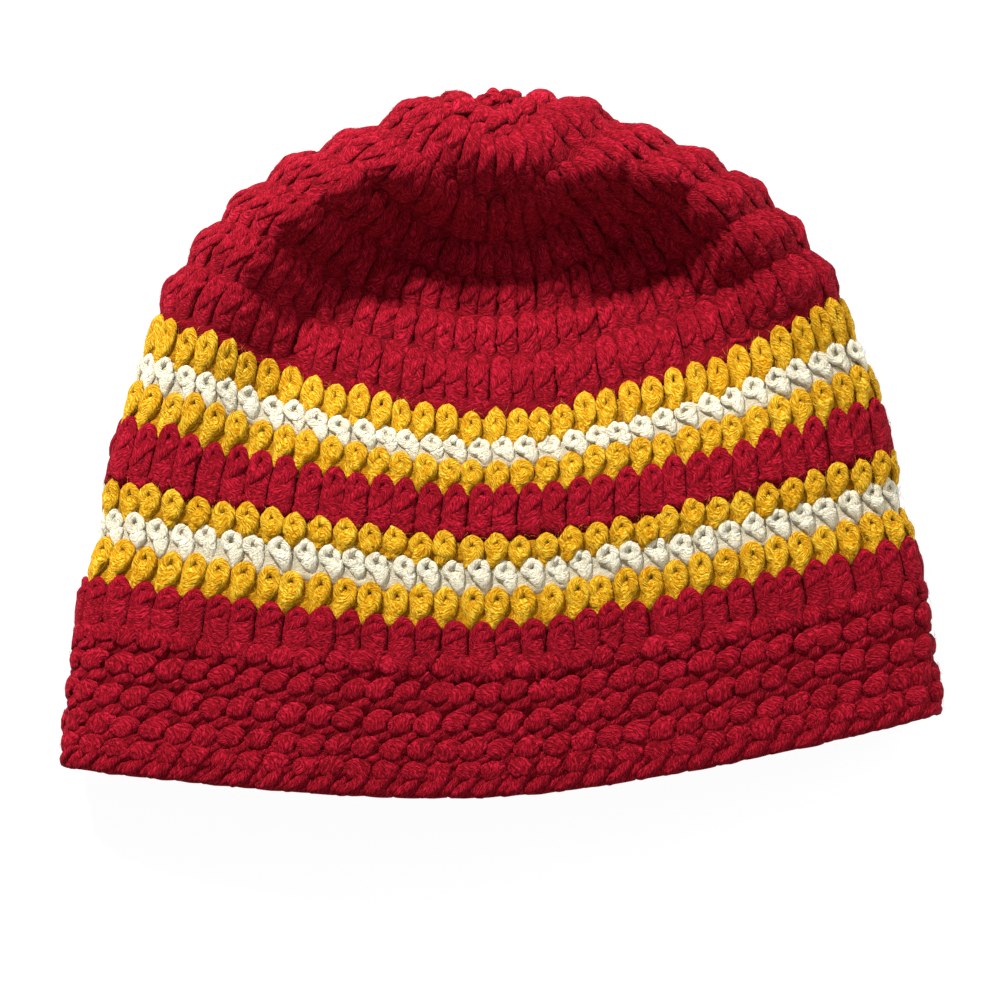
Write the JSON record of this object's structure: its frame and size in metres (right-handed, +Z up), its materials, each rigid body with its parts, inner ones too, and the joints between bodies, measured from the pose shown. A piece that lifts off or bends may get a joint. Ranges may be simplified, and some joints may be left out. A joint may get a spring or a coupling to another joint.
{
  "type": "crochet beanie",
  "caption": "Crocheted beanie lying flat: domed crown with a dent, striped gold and white bands, plain brim with a braided edge.",
  "frame": {"origin": "on the floor under the middle of the hat's bounding box, as it lies on its back", "axes": "+X across the hat to the picture's right, +Y from the mouth to the crown, +Z up from the floor"},
  "size_m": [0.2514, 0.1976, 0.0503],
  "materials": {
    "red_yarn": "fuzzy plied acrylic yarn, crimson",
    "gold_yarn": "fuzzy plied acrylic yarn, golden yellow",
    "white_yarn": "fuzzy plied acrylic yarn, warm off-white"
  },
  "bodies": {
    "root": {"crown": "red_yarn", "upper_stripe_gold_top": "gold_yarn", "upper_stripe_white": "white_yarn", "upper_stripe_gold_bottom": "gold_yarn", "middle_band": "red_yarn", "lower_stripe_gold_top": "gold_yarn", "lower_stripe_white": "white_yarn", "lower_stripe_gold_bottom": "gold_yarn", "brim_top_round": "red_yarn", "brim_band": "red_yarn", "brim_edge": "red_yarn"}
  },
  "joints": []
}
